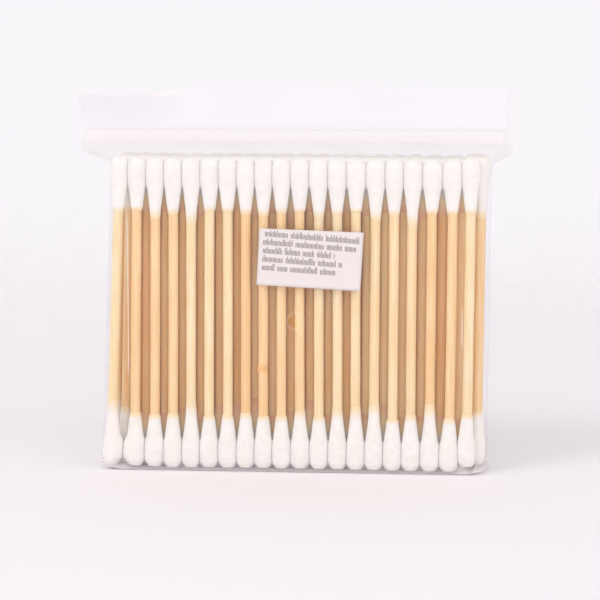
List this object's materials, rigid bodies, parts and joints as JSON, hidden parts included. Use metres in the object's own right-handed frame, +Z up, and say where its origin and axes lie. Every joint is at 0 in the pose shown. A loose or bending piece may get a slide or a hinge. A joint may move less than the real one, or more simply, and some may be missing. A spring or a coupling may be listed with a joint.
{
  "type": "bag of cotton swabs",
  "caption": "Clear plastic bag that stands upright, filled with nested rows of wooden cotton swabs, with a flat press-to-close top and a small blank paper label.",
  "frame": {"origin": "on the ground, under the middle of the bag's bounding box", "axes": "+X along the rows of swabs, to the right as the label is read; +Y from the labelled front to the back; +Z up"},
  "size_m": [0.104, 0.0195, 0.0919],
  "materials": {
    "film": "gloss",
    "closure_plastic": "satin",
    "paper": "matte",
    "wood": "matte",
    "cotton": "matte"
  },
  "bodies": {
    "root": {"bag_film": "film", "closure_channel": "closure_plastic", "closure_rib": "closure_plastic", "label": "paper", "sticks_row_1": "wood", "sticks_row_2": "wood", "sticks_row_3": "wood", "sticks_row_4": "wood", "sticks_row_5": "wood", "upper_tips_row_1": "cotton", "upper_tips_row_2": "cotton", "upper_tips_row_3": "cotton", "upper_tips_row_4": "cotton", "upper_tips_row_5": "cotton", "lower_tips_row_1": "cotton", "lower_tips_row_2": "cotton", "lower_tips_row_3": "cotton", "lower_tips_row_4": "cotton", "lower_tips_row_5": "cotton"}
  },
  "joints": []
}
